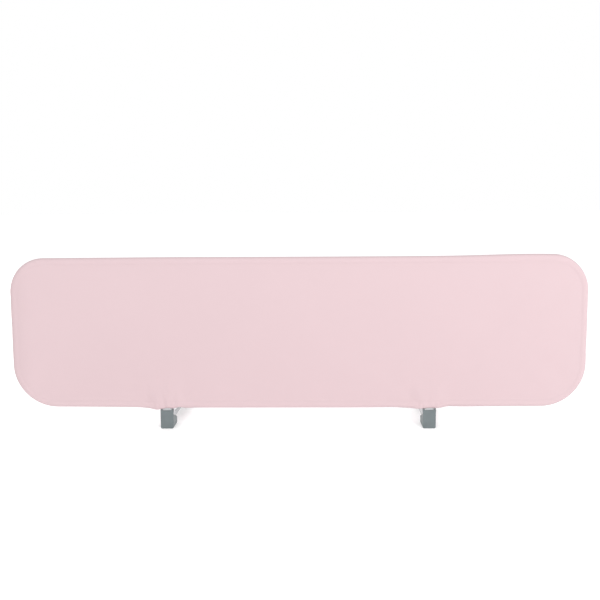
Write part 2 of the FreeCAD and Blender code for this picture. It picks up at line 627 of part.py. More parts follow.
def zip_slider():
    """Outer wing of the slider with its side flanges and the arch that holds the pull."""
    z = PANEL_BOTTOM + ZIP_RISE
    x0 = slider_start() - SLIDER_LENGTH / 2
    x1 = x0 + SLIDER_LENGTH
    y0 = zip_chain_top() + SLIDER_CLEARANCE
    y1 = y0 + SLIDER_PLATE
    half = SLIDER_WIDTH / 2
    wing = box(x0, x1, y0, y1, z - half, z + half)
    wing = wing.makeFillet(2.0, edges_along(wing, Vector(0, 1, 0)))
    for side in (-1, 1):
        inner = side * (half - SLIDER_FLANGE)
        outer = side * half
        flange = box(x0 + 2, x1 - 2, COVER_HALF - FABRIC, y0, z + min(inner, outer), z + max(inner, outer))
        wing = wing.fuse(flange)
    middle = slider_start()
    reach = ARCH_SPAN / 2 + ARCH_BAR
    arch = box(middle - reach, middle + reach, y1, y1 + ARCH_HEIGHT, z - ARCH_WIDTH / 2, z + ARCH_WIDTH / 2)
    top_edges = [e for e in edges_along(arch, Vector(0, 0, 1)) if e.CenterOfMass.y > y1 + 1]
    arch = arch.makeFillet(1.2, top_edges)
    window = box(middle - ARCH_SPAN / 2, middle + ARCH_SPAN / 2, y1, y1 + ARCH_HEIGHT - ARCH_BAR, z - half, z + half)
    return wing.fuse(arch.cut(window))


def zip_pull():
    """Pull tab whose cross bar lies under the slider's arch."""
    z = PANEL_BOTTOM + ZIP_RISE
    low = zip_chain_top() + SLIDER_CLEARANCE + SLIDER_PLATE + SLIDER_CLEARANCE
    middle = slider_start()
    half = PULL_WIDTH / 2
    centre_y = low + PULL_THICK / 2
    bar = Part.makeCylinder(PULL_THICK / 2, PULL_WIDTH, Vector(middle, centre_y, z - half), Vector(0, 0, 1))
    arm_length = ARCH_SPAN / 2 + ARCH_BAR + 2 * SLIDER_CLEARANCE
    plate = box(middle - PULL_LENGTH, middle - arm_length, low, low + PULL_THICK, z - half, z + half)
    far = [e for e in edges_along(plate, Vector(0, 1, 0)) if e.CenterOfMass.x < middle - PULL_LENGTH + 1]
    plate = plate.makeFillet(half - 0.5, far)
    plate = plate.cut(rod_y(low, low + PULL_THICK, middle - PULL_LENGTH + half, z, 1.6))
    body = bar.fuse(plate)
    for side in (-1, 1):
        inner = side * (half - PULL_ARM)
        outer = side * half
        arm = box(middle - arm_length - 1, middle, low, low + PULL_THICK, z + min(inner, outer), z + max(inner, outer))
        body = body.fuse(arm)
    return body


# ---------------------------------------------------------------- write every piece
def hinge_pieces():
    """The pieces at each leg, drawn about X = 0 as for the left leg. The right leg is their mirror image."""
    return {
        "knuckle": knuckle(),
        "clamp": clamp(),
        "clamp_screws": clamp_screws(),
        "fork": fork(),
        "hinge_pin": pin(),
        "release_button": button(),
        "lock_ring": lock_ring(),
        "lock_spring": lock_spring(),
        "shoe": shoe(),
        "leg_tube": leg_tube(),
        "rear_foot": foot(),
        "foot_pad": foot_pad(),
        "grip_pad": grip_pad(),
        "leg_rivets": leg_rivets(),
        "leg_screws": leg_screws(),
    }


def all_pieces():
    front, back = cover_halves()
    pieces = {
        "cover_front": front,
        "cover_back": back,
        "upper_left_tube": corner_tube(-1, True),
        "upper_right_tube": corner_tube(1, True),
        "lower_left_tube": corner_tube(-1, False),
        "lower_right_tube": corner_tube(1, False),
        "frame_ferrules": frame_ferrules(),
        "zip_tape": zip_tape(),
        "zip_stops": zip_stops(),
        "zip_slider": zip_slider(),
        "zip_pull": zip_pull(),
    }
    at_hinge = hinge_pieces()
    for side, centre_x in leg_centres().items():
        for name, shape in at_hinge.items():
            placed = shape.copy() if side == "left" else shape.mirror(Vector(0, 0, 0), Vector(1, 0, 0))
            placed.translate(Vector(centre_x, 0, 0))
            pieces[side + "_" + name] = placed
    return pieces


os.makedirs("parts", exist_ok=True)
for name, shape in all_pieces().items():
    shape.translate(Vector(0, -DEPTH_MIDDLE, 0))
    shape.exportStep("parts/" + name + ".step")
    print(name, "solids", len(shape.Solids), "valid", shape.isValid(), "cm3", round(shape.Volume / 1000, 2))
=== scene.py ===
import json
import math

import bmesh
import bpy
from mathutils import Matrix, Vector


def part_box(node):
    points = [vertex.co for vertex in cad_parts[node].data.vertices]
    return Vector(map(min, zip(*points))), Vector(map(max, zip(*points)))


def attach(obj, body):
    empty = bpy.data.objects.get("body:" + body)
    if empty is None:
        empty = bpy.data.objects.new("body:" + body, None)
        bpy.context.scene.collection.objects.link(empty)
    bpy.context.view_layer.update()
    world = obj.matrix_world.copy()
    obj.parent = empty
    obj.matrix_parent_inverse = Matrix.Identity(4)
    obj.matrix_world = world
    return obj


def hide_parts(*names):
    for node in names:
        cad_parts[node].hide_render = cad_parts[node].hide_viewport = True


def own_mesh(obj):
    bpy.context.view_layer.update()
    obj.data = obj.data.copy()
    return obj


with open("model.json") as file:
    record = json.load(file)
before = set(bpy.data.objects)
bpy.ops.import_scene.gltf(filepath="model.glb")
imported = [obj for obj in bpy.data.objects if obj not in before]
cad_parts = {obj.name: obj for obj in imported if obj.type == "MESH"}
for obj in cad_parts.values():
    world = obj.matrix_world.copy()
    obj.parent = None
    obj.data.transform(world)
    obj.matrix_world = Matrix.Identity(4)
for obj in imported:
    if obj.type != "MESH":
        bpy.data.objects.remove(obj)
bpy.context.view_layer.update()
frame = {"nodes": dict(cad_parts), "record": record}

# Everything is in metres, in the CAD's frame: X along the rail, the bed towards +Y, Z up.

# ------------------------------------------------------------------ places from the frame
MM = 0.001
PANEL = "panel"
SIDES = ("left", "right")
cover_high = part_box("cover_front")[1]
tube_low, tube_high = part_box("lower_left_tube")
zip_low, zip_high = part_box("zip_tape")
HALF_LENGTH = cover_high[0]
MIDDLE_Y = cover_high[1]
PANEL_TOP = cover_high[2]
TUBE_RADIUS = (tube_high[1] - tube_low[1]) / 2
TUBE_TO_SKIN = 1.7 * MM
ROLL = TUBE_RADIUS + TUBE_TO_SKIN           # radius at which the cover rolls over the tube
PANEL_BOTTOM = tube_low[2] - TUBE_TO_SKIN
TOP_CORNER = 90 * MM
BOTTOM_CORNER = 115 * MM
CLOTH = 0.9 * MM


def centre_of(node):
    low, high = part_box(node)
    return Vector(((low[0] + high[0]) / 2, (low[1] + high[1]) / 2, (low[2] + high[2]) / 2))


LEG_X = {side: centre_of(side + "_leg_tube").x for side in SIDES}
ZIP_Z = centre_of("zip_tape").z
ZIP_HALF = (zip_high[0] - zip_low[0]) / 2
ZIP_OPENING = 5 * MM


# ------------------------------------------------------------------ small maths
def smooth(value):
    value = min(1.0, max(0.0, value))
    return value * value * (3 - 2 * value)


def bell(value, width):
    return math.exp(-(value / width) ** 2)


def plateau(value, flat, fall):
    """1 within flat of zero, easing to 0 over the next fall."""
    return 1 - smooth((abs(value) - flat) / fall)


# ------------------------------------------------------------------ mesh helpers
def make_object(name, verts, faces, smooth_shaded=True):
    mesh = bpy.data.meshes.new(name)
    mesh.from_pydata([tuple(v) for v in verts], [], faces)
    mesh.validate()
    mesh.update()
    if smooth_shaded:
        mesh.polygons.foreach_set("use_smooth", [True] * len(mesh.polygons))
    obj = bpy.data.objects.new(name, mesh)
    bpy.context.scene.collection.objects.link(obj)
    return obj


def apply_modifiers(obj):
    graph = bpy.context.evaluated_depsgraph_get()
    mesh = bpy.data.meshes.new_from_object(obj.evaluated_get(graph))
    obj.modifiers.clear()
    obj.data = mesh


def shade_by_angle(obj, angle=32):
    """Smooth shading that keeps the sharp edges."""
    mesh = bmesh.new()
    mesh.from_mesh(obj.data)
    bmesh.ops.recalc_face_normals(mesh, faces=mesh.faces)
    for edge in mesh.edges:
        edge.smooth = edge.calc_face_angle(0.0) < math.radians(angle)
    mesh.to_mesh(obj.data)
    mesh.free()


def add_bevel(obj, width, segments=2, angle=35):
    bevel = obj.modifiers.new("soft_edges", "BEVEL")
    bevel.width = width
    bevel.segments = segments
    bevel.limit_method = "ANGLE"
    bevel.angle_limit = math.radians(angle)
    bevel.harden_normals = False


def swept_strip(path, section, closed):
    """Verts and faces of a section carried along a path. The section is a list of (sideways, up) pairs and the
    path a list of (point, side, up)."""
    verts = []
    faces = []
    count = len(section)
    for point, side, up in path:
        for across, rise in section:
            verts.append(point + side * across + up * rise)
    last = len(path) if closed else len(path) - 1
    for i in range(last):
        for j in range(count):
            a = i * count + j
            b = i * count + (j + 1) % count
            c = ((i + 1) % len(path)) * count + (j + 1) % count
            d = ((i + 1) % len(path)) * count + j
            faces.append((a, b, c, d))
    if not closed:
        faces.append(tuple(range(count))[::-1])
        start = (len(path) - 1) * count
        faces.append(tuple(start + k for k in range(count)))
    return verts, faces


def round_section(radius, sides=8):
    return [(radius * math.cos(2 * math.pi * k / sides), radius * math.sin(2 * math.pi * k / sides))
            for k in range(sides)]


# ------------------------------------------------------------------ node helpers
class Nodes:
    """Short calls for building a material's node tree."""

    def __init__(self, name):
        self.material = bpy.data.materials.new(name)
        self.material.use_nodes = True
        self.tree = self.material.node_tree
        self.shader = self.tree.nodes["Principled BSDF"]

    def add(self, kind, **values):
        node = self.tree.nodes.new(kind)
        for key, value in values.items():
            setattr(node, key, value)
        return node

    def join(self, source, target):
        self.tree.links.new(source, target)

    def noise(self, coords, scale, detail=3.0, roughness=0.5):
        node = self.add("ShaderNodeTexNoise")
        node.inputs["Scale"].default_value = scale
        node.inputs["Detail"].default_value = detail
        node.inputs["Roughness"].default_value = roughness
        self.join(coords, node.inputs["Vector"])
        return node.outputs["Fac"]

    def maths(self, operation, *values):
        node = self.add("ShaderNodeMath", operation=operation)
        for socket, value in zip(node.inputs, values):
            if isinstance(value, (int, float)):
                socket.default_value = value
            else:
                self.join(value, socket)
        return node.outputs[0]

    def ramp(self, fac, low, high, low_colour, high_colour):
        node = self.add("ShaderNodeValToRGB")
        node.color_ramp.elements[0].position = low
        node.color_ramp.elements[1].position = high
        node.color_ramp.elements[0].color = (*low_colour, 1)
        node.color_ramp.elements[1].color = (*high_colour, 1)
        self.join(fac, node.inputs["Fac"])
        return node.outputs["Color"]

    def spread(self, fac, low, high):
        node = self.add("ShaderNodeMapRange")
        node.inputs["To Min"].default_value = low
        node.inputs["To Max"].default_value = high
        self.join(fac, node.inputs["Value"])
        return node.outputs["Result"]

    def bump(self, height, strength, distance, normal=None):
        node = self.add("ShaderNodeBump")
        node.inputs["Strength"].default_value = strength
        node.inputs["Distance"].default_value = distance
        self.join(height, node.inputs["Height"])
        if normal is not None:
            self.join(normal, node.inputs["Normal"])
        return node.outputs["Normal"]

    def coords(self, kind):
        return self.add("ShaderNodeTexCoord").outputs[kind]


def scaled(colour, factor):
    return tuple(min(1.0, c * factor) for c in colour)


def fabric_material(name, colour, thread=0.62 * MM):
    """Close plain weave: threads both ways, with slight unevenness in thickness and colour, and painted shade
    where the mesh marks it.
    """
    n = Nodes(name)
    uv = n.coords("UV")
    split = n.add("ShaderNodeSeparateXYZ")
    n.join(uv, split.inputs[0])
    wobble = n.noise(uv, 90.0, 2.0)
    push = n.maths("MULTIPLY", wobble, 0.9)
    turns = 2 * math.pi / thread
    warp = n.maths("SINE", n.maths("ADD", n.maths("MULTIPLY", split.outputs[0], turns), push))
    weft = n.maths("SINE", n.maths("ADD", n.maths("MULTIPLY", split.outputs[1], turns), push))
    over = n.maths("MULTIPLY", warp, weft)
    weave = n.maths("MULTIPLY_ADD", over, 0.5, 0.5)
    cloudy = n.noise(uv, 5.0, 4.0, 0.55)
    slub = n.noise(uv, 420.0, 2.0)
    blend = n.maths("ADD", n.maths("MULTIPLY", cloudy, 0.6), n.maths("MULTIPLY", slub, 0.4))
    tint = n.ramp(blend, 0.3, 0.7, scaled(colour, 0.99), scaled(colour, 1.01))
    # painted shade: where the mesh's painted shade value is 1, the colour falls to 0.84 of the cloth's own
    painted_shade = n.add("ShaderNodeAttribute", attribute_name="painted_shade")
    painted_shade_mix = n.add("ShaderNodeMix", data_type="RGBA", blend_type="MIX")
    painted_shade_mix.inputs["B"].default_value = (*scaled(colour, 0.84), 1)
    n.join(painted_shade.outputs["Fac"], painted_shade_mix.inputs["Factor"])
    n.join(tint, painted_shade_mix.inputs["A"])
    shade = n.add("ShaderNodeMix", data_type="RGBA", blend_type="MULTIPLY")
    shade.inputs["Factor"].default_value = 0.06
    n.join(painted_shade_mix.outputs["Result"], shade.inputs["A"])
    n.join(weave, shade.inputs["B"])
    n.join(shade.outputs["Result"], n.shader.inputs["Base Color"])
    n.join(n.spread(blend, 0.72, 0.86), n.shader.inputs["Roughness"])
    rough_normal = n.bump(cloudy, 0.05, 1.0 * MM)
    n.join(n.bump(weave, 0.25, 0.10 * MM, rough_normal), n.shader.inputs["Normal"])
    n.shader.inputs["Sheen Weight"].default_value = 0.03
    n.shader.inputs["Sheen Roughness"].default_value = 0.5
    n.shader.inputs["Specular IOR Level"].default_value = 0.15
    return n.material


def plastic_material(name, colour, roughness=0.5, grain=900.0):
    """Moulded plastic: fine spark-eroded grain, slight mottling and paler rubbed patches."""
    n = Nodes(name)
    at = n.coords("Object")
    fine = n.noise(at, grain, 2.0)
    mottled = n.noise(at, 38.0, 4.0, 0.6)
    tint = n.ramp(mottled, 0.3, 0.72, scaled(colour, 0.93), scaled(colour, 1.08))
    n.join(tint, n.shader.inputs["Base Color"])
    n.join(n.spread(mottled, roughness - 0.07, roughness + 0.1), n.shader.inputs["Roughness"])
    n.join(n.bump(fine, 0.35, 0.08 * MM), n.shader.inputs["Normal"])
    n.shader.inputs["Specular IOR Level"].default_value = 0.45
    return n.material


def painted_material(name, colour, roughness=0.38):
    """Powder coat: orange peel, faint dust and scuffs along the tube."""
    n = Nodes(name)
    at = n.coords("Object")
    peel = n.noise(at, 320.0, 2.0)
    stretch = n.add("ShaderNodeMapping")
    stretch.inputs["Scale"].default_value = (60, 4, 60)
    n.join(at, stretch.inputs["Vector"])
    scuff = n.noise(stretch.outputs[0], 1.5, 5.0, 0.65)
    tint = n.ramp(scuff, 0.32, 0.7, scaled(colour, 0.95), scaled(colour, 1.03))
    n.join(tint, n.shader.inputs["Base Color"])
    n.join(n.spread(scuff, roughness - 0.06, roughness + 0.14), n.shader.inputs["Roughness"])
    n.join(n.bump(peel, 0.2, 0.05 * MM), n.shader.inputs["Normal"])
    n.shader.inputs["Metallic"].default_value = 0.15
    return n.material


def steel_material(name, colour, roughness=0.32):
    """Zinc-plated steel with turned marks and cloudy plating."""
    n = Nodes(name)
    at = n.coords("Object")
    cloudy = n.noise(at, 140.0, 4.0, 0.6)
    marks = n.noise(at, 1600.0, 1.0)
    tint = n.ramp(cloudy, 0.3, 0.7, scaled(colour, 0.85), scaled(colour, 1.05))
    n.join(tint, n.shader.inputs["Base Color"])
    n.join(n.spread(cloudy, roughness - 0.08, roughness + 0.16), n.shader.inputs["Roughness"])
    n.join(n.bump(marks, 0.2, 0.03 * MM), n.shader.inputs["Normal"])
    n.shader.inputs["Metallic"].default_value = 1.0
    return n.material


def rubber_material(name, colour):
    """Matt rubber with a fine grain and pale dust."""
    n = Nodes(name)
    at = n.coords("Object")
    dusty = n.noise(at, 60.0, 5.0, 0.65)
    fine = n.noise(at, 1200.0, 2.0)
    tint = n.ramp(dusty, 0.35, 0.75, scaled(colour, 0.85), scaled(colour, 1.5))
    n.join(tint, n.shader.inputs["Base Color"])
    n.join(n.spread(dusty, 0.7, 0.9), n.shader.inputs["Roughness"])
    n.join(n.bump(fine, 0.4, 0.08 * MM), n.shader.inputs["Normal"])
    return n.material


PINK = (0.60, 0.463, 0.483)
FABRIC = fabric_material("pink_fabric", PINK)
TAPE_FABRIC = fabric_material("zip_tape_fabric", scaled(PINK, 0.9), 1.1 * MM)
THREAD = plastic_material("pink_thread", scaled(PINK, 0.93), 0.62, 2500.0)
SLATE = plastic_material("slate_plastic", (0.135, 0.160, 0.166), 0.50)
BUTTON = plastic_material("dark_slate_plastic", (0.085, 0.100, 0.105), 0.44)
PALE_PLASTIC = plastic_material("light_grey_plastic", (0.56, 0.57, 0.58), 0.46)
LEG_PAINT = painted_material("grey_powder_coat", (0.42, 0.435, 0.445))
STEEL = steel_material("zinc_plate", (0.62, 0.62, 0.64))
RUBBER = rubber_material("black_rubber", (0.022, 0.022, 0.024))
ZIP_LACQUER = painted_material("pink_lacquer", (0.66, 0.47, 0.50), 0.28)

MATERIAL_OF_SLOT = {
    "cover_fabric": FABRIC,
    "frame_tube": LEG_PAINT,
    "leg_paint": LEG_PAINT,
    "hinge_plastic": PALE_PLASTIC,
    "shoe_plastic": SLATE,
    "button_plastic": BUTTON,
    "fastener_steel": STEEL,
    "pad_rubber": RUBBER,
    "zip_fabric": TAPE_FABRIC,
    "zip_metal": ZIP_LACQUER,
}
BEVEL_OF_SLOT = {
    "shoe_plastic": 0.7 * MM,
    "hinge_plastic": 0.5 * MM,
    "zip_metal": 0.25 * MM,
    "pad_rubber": 0.4 * MM,
}


def finish_cad_nodes():
    for part in frame["record"]["subparts"]:
        obj = frame["nodes"][part["node"]]
        obj.data.materials.clear()
        obj.data.materials.append(MATERIAL_OF_SLOT[part["material_slot"]])
        if part["material_slot"] in BEVEL_OF_SLOT:
            add_bevel(obj, BEVEL_OF_SLOT[part["material_slot"]])


def place(obj, material, body, slot, *replaced):
    obj.data.materials.clear()
    obj.data.materials.append(material)
    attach(obj, body)
    if replaced:
        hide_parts(*replaced)
    return obj


# ------------------------------------------------------------------ the cover's outline and relief
INNER = 26 * MM                      # where the even grid of the flat faces begins
FRONT_WRAP = 52                      # degrees by which the front sheet turns past the middle of the edge
LIP_TURN = 30                        # where the front lip of a knuckle slot ends
BACK_LIP_TURN = 60
SLOT_X = 12.9 * MM                   # half the width of a knuckle slot
BULGE_OUT = 2.8 * MM                 # how far a clamp pushes the cover forwards and back
BULGE_DOWN = 2.6 * MM
SAG = {-1: 0.9 * MM, 1: 0.35 * MM}   # how far the cloth falls in between the tubes, front and back
MIDDLE_Z = (PANEL_TOP + PANEL_BOTTOM) / 2
RIM_RINGS = 8                        # rings between the even grid and the roll
SWELL_HALF = 22 * MM                 # half width of the place where a clamp pushes the cover out
SWELL_EASE = 32 * MM
SWELL_TOP = 84 * MM
SWELL_FADE = 52 * MM
FOLD_DEPTH = {"left": 1.8 * MM, "right": 1.1 * MM}
FOLD_REACH = 62 * MM
PUCKER_DEPTH = 0.8 * MM
CREASE_DEPTH = 0.5 * MM
CREASE_REACH = 125 * MM
DENT_DEPTH = 0.6 * MM
DENT_Z = {-1: 268 * MM, 1: 207 * MM}  # heights of the dents in the left and right ends
LINE_INSET = 16.5 * MM               # where the painted shade line inside the tube runs


def corner_of(x, z):
    """Centre and radius of the outline's corner arc nearest to a point, and 1 for a top corner or -1."""
    up = 1 if z > MIDDLE_Z else -1
    radius = TOP_CORNER if up > 0 else BOTTOM_CORNER
    centre_z = PANEL_TOP - radius if up > 0 else PANEL_BOTTOM + radius
    return math.copysign(HALF_LENGTH - radius, x), centre_z, radius, up


def round_corner(x, z, inset):
    """Moves a point of the square-cornered rectangle so that the rectangle's corners become round."""
    centre_x, centre_z, radius, up = corner_of(x, z)
    reach = radius - inset
    a = (x - centre_x) * math.copysign(1, x) / reach
    b = (z - centre_z) * up / reach
    if a <= 0 or b <= 0:
        return x, z
    new_a = a * math.sqrt(1 - b * b / 2)
    new_b = b * math.sqrt(1 - a * a / 2)
    return centre_x + math.copysign(new_a * reach, x), centre_z + up * new_b * reach


def from_corner(x, z):
    """Offsets from the nearest corner arc's centre towards the outline."""
    centre_x, centre_z, radius, up = corner_of(x, z)
    return (x - centre_x) * math.copysign(1, x), (z - centre_z) * up, radius, up


def outward(x, z):
    """Unit normal of the outline next to a point near its edge."""
    dx, dz, _, up = from_corner(x, z)
    if dx > 0 and dz > 0:
        length = math.hypot(dx, dz)
        return math.copysign(dx / length, x), up * dz / length
    if dz > dx:
        return 0.0, float(up)
    return math.copysign(1.0, x), 0.0


def distance_in(x, z):
    """Distance of a point inside the outline from the outline."""
    dx, dz, radius, _ = from_corner(x, z)
    if dx > 0 and dz > 0:
        return radius - math.hypot(dx, dz)
    return radius - max(dx, dz)


def lower_edge(x):
    """How far the lower edge hangs below the frame's line. It bows along the middle, and each bell is one dip or
    rise beside a knuckle: its height, its place and its width."""
    left = x - LEG_X["left"]
    right = x - LEG_X["right"]
    drop = 3.3 * MM * (1 - smooth((abs(x + 40 * MM) - 150 * MM) / (480 * MM)))
    drop += 3.2 * MM * bell(left + 30 * MM, 30 * MM) - 4.0 * MM * bell(left, 17 * MM)
    drop += 0.8 * MM * bell(left - 56 * MM, 14 * MM) - 3.6 * MM * bell(left - 31 * MM, 9 * MM)
    drop += 2.4 * MM * bell(right + 44 * MM, 32 * MM) - 1.6 * MM * bell(right, 18 * MM)
    drop -= 1.2 * MM * bell(right - 52 * MM, 20 * MM)
    return drop


def upper_edge(x):
    """The top rises a little towards the right-hand end."""
    return 4.2 * MM * bell(x - 600 * MM, 150 * MM) + 0.8 * MM * bell(x + 330 * MM, 160 * MM)


def swell(x, z):
    """0 to 1, where the clamp inside pushes the cover outwards."""
    beside = sum(plateau(x - centre, SWELL_HALF, SWELL_EASE) for centre in LEG_X.values())
    return beside * (1 - smooth((z - SWELL_TOP) / SWELL_FADE))


def clamp_folds(x, z):
    """Tension folds that fan out from each knuckle, and short puckers along the edge beside it."""
    depth = z - PANEL_BOTTOM + 18 * MM
    relief = 0.0
    for name, centre in LEG_X.items():
        lean = 1 if name == "left" else -1
        near = x - centre
        radial = math.atan2(near, depth)
        reach = math.hypot(near, depth)
        fan = math.exp(-reach / FOLD_REACH) * smooth(reach / (30 * MM))
        rays = math.sin(radial * 9.0 + 0.7 * lean) * (0.7 + 0.3 * math.sin(radial * 23.0))
        relief += FOLD_DEPTH[name] * fan * rays
        pucker = bell(abs(near) - 25 * MM, 11 * MM) * bell(z - PANEL_BOTTOM - 5 * MM, 12 * MM)
        relief += PUCKER_DEPTH * pucker * math.sin(near / (2.3 * MM) + lean)
    return relief


def corner_folds(x, z, side):
    """Faint creases that run into each corner."""
    relief = 0.0
    for sign in (-1, 1):
        for corner_z in (PANEL_BOTTOM, PANEL_TOP):
            far_x = HALF_LENGTH - sign * x
            far_z = abs(z - corner_z)
            reach = math.hypot(far_x, far_z)
            waves = math.sin((far_x - far_z) / (17 * MM) + side)
            relief += CREASE_DEPTH * bell(reach - CREASE_REACH, 65 * MM) * waves
    return relief


def folds(x, z, side):
    """Relief of the taut cloth, positive outwards. side is -1 for the front sheet and 1 for the back."""
    relief = 0.4 * MM * math.sin(x * 9.0 + 1.3 * side) * math.sin(z * 13.0 + 0.6)
    relief += clamp_folds(x, z) + corner_folds(x, z, side)
    if side < 0:
        screw = math.hypot(x - LEG_X["left"] - 3 * MM, z - 98 * MM)
        relief -= 1.0 * MM * bell(screw, 7 * MM)
    else:
        relief *= 1 - bell(z - ZIP_Z, 22 * MM) * plateau(x, ZIP_HALF, 40 * MM)
    return relief


def edge_dent(x, z):
    """Small dent in each end of the panel where two frame tubes meet. It stays clear of the tubes."""
    return DENT_DEPTH * bell(z - DENT_Z[-1 if x < 0 else 1], 11 * MM)


def edge_shift(x, z, inset):
    """Where the outline's slight unevenness moves a point to."""
    normal_x, normal_z = outward(x, z)
    if z < MIDDLE_Z:
        share = (abs(normal_z) if inset < INNER else 1.0) * (1 - smooth((z - PANEL_BOTTOM) / (80 * MM)))
        z -= lower_edge(x) * share
    else:
        share = (abs(normal_z) if inset < INNER else 1.0) * (1 - smooth((PANEL_TOP - z) / (80 * MM)))
        z += upper_edge(x) * share
    near = (1 - smooth(inset / (90 * MM))) * abs(normal_x)
    return x - math.copysign(edge_dent(x, z) * near, x), z


def edge_point(base_x, base_z, turn, side):
    """A point of the roll round the frame tube. base lies INNER inside the outline; turn is the angle in degrees
    from the middle of the edge towards the sheet's own face."""
    normal_x, normal_z = outward(base_x, base_z)
    push = swell(base_x, base_z - INNER) if normal_z < -0.99 else 0.0
    power = 1 - 0.5 * push
    angle = math.radians(turn)
    reach = (ROLL + push * BULGE_DOWN) * abs(math.cos(angle)) ** power
    out = math.copysign((ROLL + push * BULGE_OUT) * abs(math.sin(angle)) ** power, math.sin(angle))
    along = INNER - ROLL + reach
    x = base_x + normal_x * along
    z = base_z + normal_z * along
    fold = folds(x, z, side) * max(0.0, math.sin(angle))
    x, z = edge_shift(x, z, max(0.0, INNER - along))
    return Vector((x, MIDDLE_Y + side * (out + fold), z))


def face_point(x, z, side):
    """A point of the sheet's flat face, at least ROLL in from the outline."""
    inset = distance_in(x, z)
    out = ROLL + swell(x, z) * BULGE_OUT
    out -= SAG[side] * smooth((inset - 12 * MM) / (6 * MM)) * (1 - swell(x, z))
    out += folds(x, z, side)
    x, z = edge_shift(x, z, inset)
    return Vector((x, MIDDLE_Y + side * out, z))


def spaced(low, high, coarse, fine, fine_spans, fixed):
    """Rising values from low to high, with fine steps within fine_spans, coarse ones elsewhere, and every fixed
    value."""
    stops = sorted({low, high, *fixed, *[v for span in fine_spans for v in span]})
    stops = [v for v in stops if low <= v <= high]
    values = []
    for start, end in zip(stops, stops[1:]):
        middle = (start + end) / 2
        step = fine if any(a <= middle <= b for a, b in fine_spans) else coarse
        count = max(1, round((end - start) / step))
        values += [start + (end - start) * k / count for k in range(count)]
    return values + [high]


def over_slot(x):
    return any(abs(x - centre) < SLOT_X - 0.01 * MM for centre in LEG_X.values())


def in_zip_opening(x, z):
    return abs(x) < ZIP_EDGE - 0.01 * MM and abs(z - ZIP_Z) < ZIP_OPENING - 0.01 * MM


def sheet_mesh(side, turns, lip_turn, columns, rows):
    """One sheet of the cover: an even grid inside, and rings round it that roll over the tube."""
    verts = []
    flat = []
    index = {}
    for j, z in enumerate(rows):
        for i, x in enumerate(columns):
            px, pz = round_corner(x, z, INNER)
            index[i, j] = len(verts)
            verts.append(face_point(px, pz, side))
            flat.append((px, pz))
    across = len(columns) - 1
    up = len(rows) - 1
    faces = []
    for j in range(up):
        for i in range(across):
            middle_x = (columns[i] + columns[i + 1]) / 2
            middle_z = (rows[j] + rows[j + 1]) / 2
            if side < 0 or not in_zip_opening(middle_x, middle_z):
                faces.append((index[i, j], index[i + 1, j], index[i + 1, j + 1], index[i, j + 1]))
    loop = [(i, 0) for i in range(across)] + [(across, j) for j in range(up)]
    loop += [(i, up) for i in range(across, 0, -1)] + [(0, j) for j in range(up, 0, -1)]
    previous = [index[key] for key in loop]
    base = [flat[k] for k in previous]
    normals = [outward(*p) for p in base]
    count = len(base)
    steps = [(90, INNER - (INNER - ROLL) * k / RIM_RINGS) for k in range(1, RIM_RINGS + 1)]
    steps += [(turn, ROLL) for turn in turns]
    last_turn = 90
    walked = 0.0
    for turn, inset in steps:
        walked = INNER - inset if turn == 90 else walked + math.radians(last_turn - turn) * ROLL
        last_turn = turn
        ring = []
        for (bx, bz), (nx, nz) in zip(base, normals):
            ring.append(len(verts))
            if turn == 90:
                verts.append(face_point(bx + nx * walked, bz + nz * walked, side))
            else:
                verts.append(edge_point(bx, bz, turn, side))
            flat.append((bx + nx * walked, bz + nz * walked))
        for k in range(count):
            after = (k + 1) % count
            middle_x = (base[k][0] + base[after][0]) / 2
            if not (turn < lip_turn and normals[k][1] < -0.99 and over_slot(middle_x)):
                faces.append((previous[k], ring[k], ring[after], previous[after]))
        previous = ring
    if side > 0:
        faces = [face[::-1] for face in faces]
    return verts, flat, faces


def paint_edge_shade(obj):
    """Marks painted shade, where the cloth's colour is made a shade greyer: on the rolled edge, on the shallow
    line inside the tube and towards the left-hand end."""
    values = []
    for vertex in obj.data.vertices:
        inset = distance_in(vertex.co.x, vertex.co.z)
        away = abs(vertex.co.y - MIDDLE_Y)
        # painted shade: the rolled edge, a faint line inside the tube and the left-hand end are darkened in the
        # colour
        roll = 1 - smooth((away - 2 * MM) / (7 * MM))
        left_end_shade = 0.35 * (1 - smooth((vertex.co.x + HALF_LENGTH) / (60 * MM)))
        line = 0.12 * bell(inset - LINE_INSET, 2.5 * MM)
        values.append(min(1.0, max(roll if inset < INNER else 0.0, line, left_end_shade)))
    layer = obj.data.attributes.new("painted_shade", "FLOAT", "POINT")
    layer.data.foreach_set("value", values)


def build_sheet(name, side, turns, lip_turn, fixed_columns, fixed_rows):
    slots = [centre + sign * SLOT_X for centre in LEG_X.values() for sign in (-1, 1)]
    fine_x = [(centre - 72 * MM, centre + 72 * MM) for centre in LEG_X.values()]
    columns = spaced(-HALF_LENGTH + INNER, HALF_LENGTH - INNER, 8 * MM, 2.4 * MM, fine_x, slots + fixed_columns)
    low_span = (PANEL_BOTTOM + INNER, PANEL_BOTTOM + 90 * MM)
    rows = spaced(PANEL_BOTTOM + INNER, PANEL_TOP - INNER, 8 * MM, 3.5 * MM, [low_span], fixed_rows)
    verts, flat, faces = sheet_mesh(side, turns, lip_turn, columns, rows)
    used = sorted({k for face in faces for k in face})
    renumber = {old: new for new, old in enumerate(used)}
    obj = make_object(name, [verts[k] for k in used], [tuple(renumber[k] for k in face) for face in faces])
    layer = obj.data.uv_layers.new(name="cloth")
    for loop in obj.data.loops:
        layer.data[loop.index].uv = flat[used[loop.vertex_index]]
    paint_edge_shade(obj)
    thickness = obj.modifiers.new("cloth_thickness", "SOLIDIFY")
    thickness.thickness = CLOTH
    thickness.offset = -1
    apply_modifiers(obj)
    return obj


